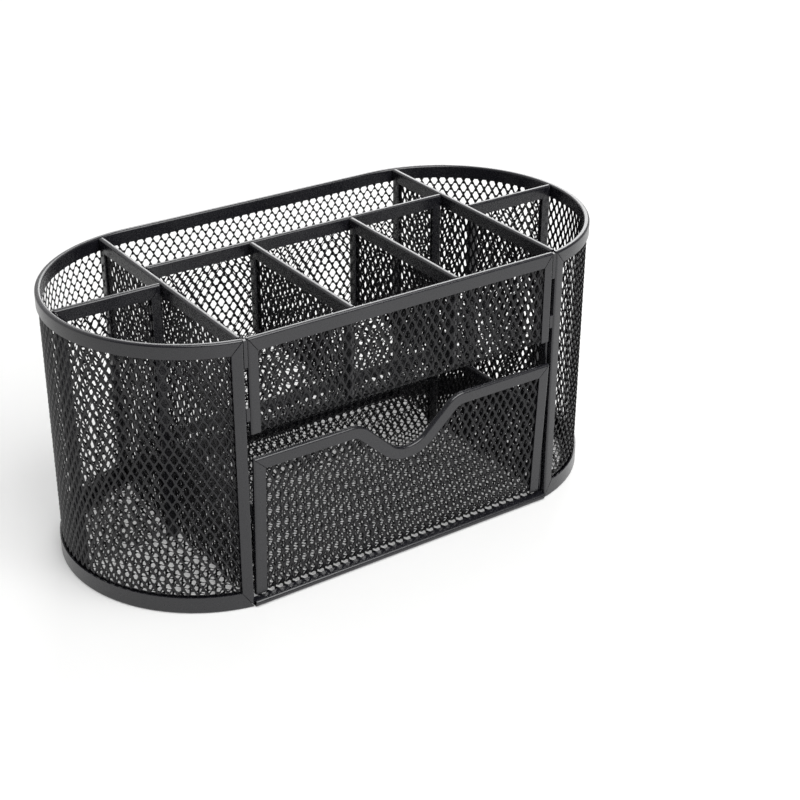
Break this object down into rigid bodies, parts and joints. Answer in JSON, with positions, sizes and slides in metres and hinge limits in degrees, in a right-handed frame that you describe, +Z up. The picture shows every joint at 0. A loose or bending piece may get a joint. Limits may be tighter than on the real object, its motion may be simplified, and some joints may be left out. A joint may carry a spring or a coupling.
{
  "type": "mesh desk organizer with drawer",
  "caption": "Black metal-mesh desk organizer with rounded ends, open compartments of two depths on top and a front drawer with a finger dip that slides out below.",
  "frame": {"origin": "middle of the footprint, on the desk that the stand rests on", "axes": "+X along the long side to the right, seen from the drawer's side; -Y out of the front, the way the drawer opens; +Z up"},
  "size_m": [0.22, 0.11, 0.105],
  "materials": {
    "mesh": "black satin powder coat on expanded steel mesh",
    "edge_strip": "black satin powder coat on folded steel strip",
    "rubber_feet": "matt black rubber"
  },
  "bodies": {
    "stand": {"base_band": "edge_strip", "base_front_strip": "edge_strip", "floor_mesh": "mesh", "front_panel_left_strip": "edge_strip", "front_panel_mesh": "mesh", "front_panel_right_strip": "edge_strip", "front_panel_top_strip": "edge_strip", "left_cross_divider_back_strip": "edge_strip", "left_cross_divider_front_strip": "edge_strip", "left_cross_divider_mesh": "mesh", "left_cross_divider_top_strip": "edge_strip", "left_end_divider_left_strip": "edge_strip", "left_end_divider_mesh": "mesh", "left_end_divider_right_strip": "edge_strip", "left_end_divider_top_strip": "edge_strip", "left_wall_end_strip": "edge_strip", "long_divider_left_strip": "edge_strip", "long_divider_mesh": "mesh", "long_divider_right_strip": "edge_strip", "long_divider_top_strip": "edge_strip", "panel_weld_tabs": "edge_strip", "right_cross_divider_back_strip": "edge_strip", "right_cross_divider_front_strip": "edge_strip", "right_cross_divider_mesh": "mesh", "right_cross_divider_top_strip": "edge_strip", "right_end_divider_left_strip": "edge_strip", "right_end_divider_mesh": "mesh", "right_end_divider_right_strip": "edge_strip", "right_end_divider_top_strip": "edge_strip", "right_wall_end_strip": "edge_strip", "rim_channel": "edge_strip", "rubber_feet": "rubber_feet", "shelf_mesh": "mesh", "short_divider_1_back_strip": "edge_strip", "short_divider_1_front_strip": "edge_strip", "short_divider_1_mesh": "mesh", "short_divider_1_top_strip": "edge_strip", "short_divider_2_back_strip": "edge_strip", "short_divider_2_front_strip": "edge_strip", "short_divider_2_mesh": "mesh", "short_divider_2_top_strip": "edge_strip", "wall_mesh": "mesh"},
    "drawer": {"drawer_back_mesh": "mesh", "drawer_back_rim": "edge_strip", "drawer_bottom_mesh": "mesh", "drawer_front_left_strip": "edge_strip", "drawer_front_mesh": "mesh", "drawer_front_right_strip": "edge_strip", "drawer_front_top_strip": "edge_strip", "drawer_left_rim": "edge_strip", "drawer_left_side_mesh": "mesh", "drawer_right_rim": "edge_strip", "drawer_right_side_mesh": "mesh"}
  },
  "joints": [
    {"name": "drawer_slide", "type": "slide", "parent": "stand", "child": "drawer", "axis": [0, -1, 0], "range_m": [0, 0.05]}
  ]
}
